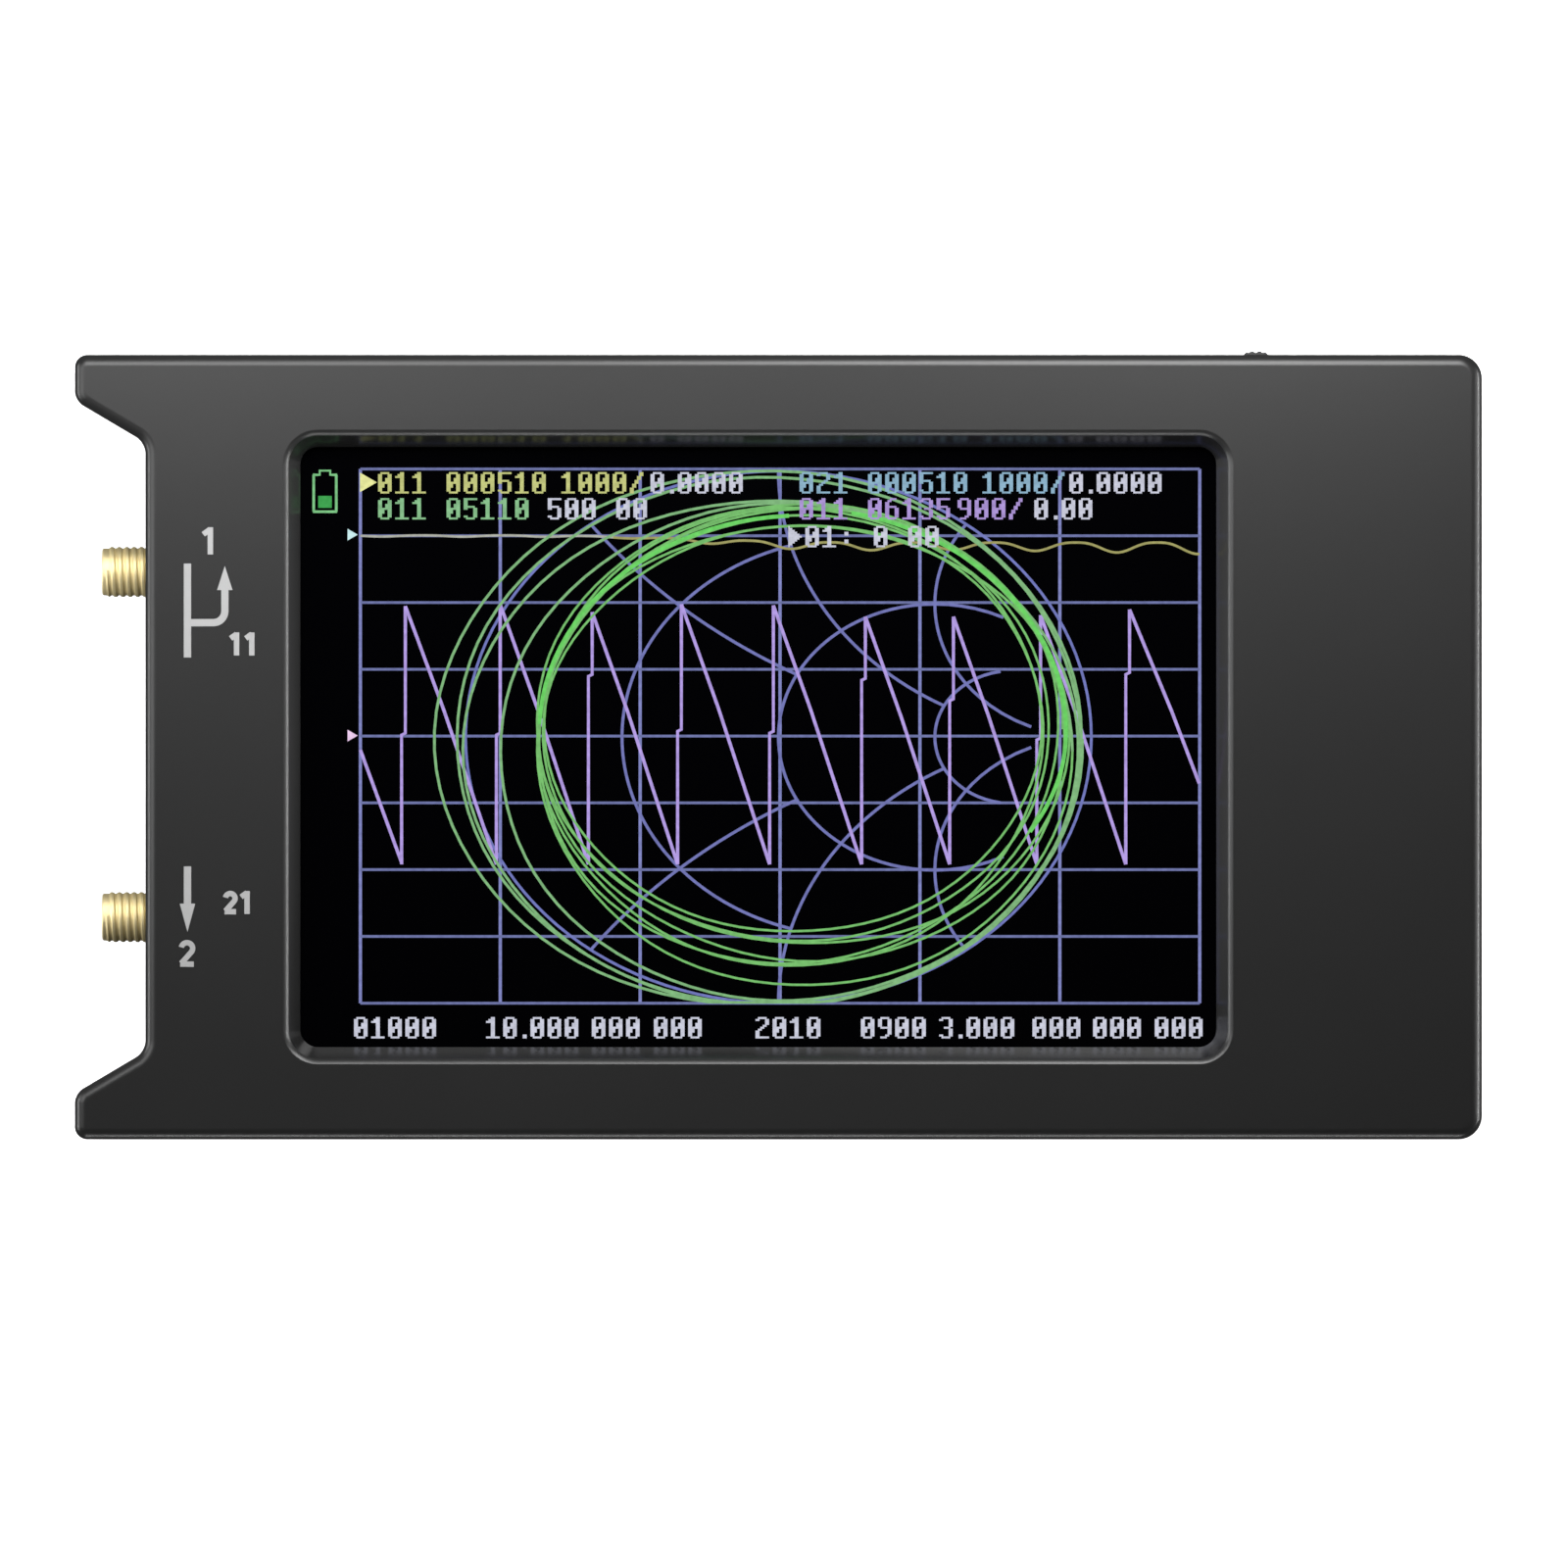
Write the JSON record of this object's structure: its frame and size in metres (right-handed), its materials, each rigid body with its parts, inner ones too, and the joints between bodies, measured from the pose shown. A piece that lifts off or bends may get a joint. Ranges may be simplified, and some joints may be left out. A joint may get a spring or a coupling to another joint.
{
  "type": "antenna analyzer",
  "caption": "Handheld antenna analyzer with a touch display, coaxial test ports guarded by ears, a charging socket, a slide power switch and a jog switch.",
  "frame": {"origin": "centre of the flat back face, on which the analyzer lies", "axes": "+Z out of the screen, +Y towards the edge with the switches and the charging socket, +X away from the coaxial ports"},
  "size_m": [0.1344, 0.0755, 0.019],
  "materials": {
    "front_plastic": "semi-matte moulded charcoal plastic",
    "rear_plastic": "fine-textured moulded charcoal plastic",
    "screw_steel": "black-oxide steel",
    "foam": "closed-cell foam",
    "touch_glass": "clear glossy film and glass over a dark display",
    "display_glass": "liquid-crystal panel glass",
    "tray_plastic": "white moulded plastic",
    "flex_film": "amber polyimide film",
    "white_plastic": "natural white plastic",
    "package_plastic": "moulded black epoxy",
    "knob_plastic": "moulded black nylon",
    "board_laminate": "green solder mask on glass-fibre laminate",
    "gold_plate": "gold plate on turned brass",
    "tin_plate": "bright tin plate",
    "socket_steel": "drawn stainless steel",
    "ferrite": "pressed ferrite",
    "lamp_plastic": "clear epoxy",
    "pouch_foil": "laminated aluminium foil",
    "amber_tape": "amber tape over a small board",
    "red_lead": "red wire insulation",
    "black_lead": "black wire insulation"
  },
  "bodies": {
    "housing": {"front_cover": "front_plastic", "rear_cover": "rear_plastic", "rear_screw_1": "screw_steel", "rear_screw_2": "screw_steel", "rear_screw_3": "screw_steel", "rear_screw_4": "screw_steel", "window_gasket": "foam", "touch_panel": "touch_glass", "display_panel": "display_glass", "backlight_tray": "tray_plastic", "display_tape_upper": "foam", "display_tape_lower": "foam", "display_lead": "flex_film", "touch_lead": "flex_film", "display_connector": "white_plastic", "main_board": "board_laminate", "port_1_jack": "gold_plate", "port_1_dielectric": "white_plastic", "port_1_contact": "gold_plate", "port_2_jack": "gold_plate", "port_2_dielectric": "white_plastic", "port_2_contact": "gold_plate", "shield_can_1": "tin_plate", "mixer_chip_1": "package_plastic", "shield_can_2": "tin_plate", "mixer_chip_2": "package_plastic", "shield_can_3": "tin_plate", "mixer_chip_3": "package_plastic", "clock_chip": "package_plastic", "codec_chip": "package_plastic", "reference_oscillator": "tin_plate", "processor": "package_plastic", "processor_crystal": "tin_plate", "charger_chip": "package_plastic", "charger_inductor": "ferrite", "usb_socket_shell": "socket_steel", "usb_socket_tongue": "package_plastic", "power_switch_body": "tin_plate", "jog_switch_body": "package_plastic", "memory_card_socket": "socket_steel", "indicator_lamp_1": "lamp_plastic", "indicator_lamp_2": "lamp_plastic", "battery_cell": "pouch_foil", "battery_tape": "foam", "battery_guard_board": "amber_tape", "battery_header": "white_plastic", "battery_plug": "white_plastic", "battery_lead_positive": "red_lead", "battery_lead_negative": "black_lead"},
    "power_knob": {"power_switch_slider": "knob_plastic"},
    "jog_carriage": {"jog_switch_carriage": "tin_plate"},
    "jog_lever": {"jog_switch_lever": "knob_plastic"},
    "lead_latch": {"display_connector_latch": "package_plastic"}
  },
  "joints": [
    {"name": "power_switch_slide", "type": "slide", "parent": "housing", "child": "power_knob", "axis": [-1, 0, 0], "range_m": [0, 0.002]},
    {"name": "jog_push", "type": "slide", "parent": "housing", "child": "jog_carriage", "axis": [0, -1, 0], "range_m": [0, 0.0004], "stiffness_N_per_m": 500, "springref_m": -0.0002},
    {"name": "jog_tilt", "type": "hinge", "parent": "jog_carriage", "child": "jog_lever", "pos_m": [0.04585, 0.0316, 0.0075], "axis": [0, 0, 1], "range_deg": [-12, 12], "stiffness_Nm_per_rad": 0.01},
    {"name": "lead_latch_flip", "type": "hinge", "parent": "housing", "child": "lead_latch", "pos_m": [0.05468, 0, 0.0125], "axis": [0, 1, 0], "range_deg": [0, 90]}
  ]
}
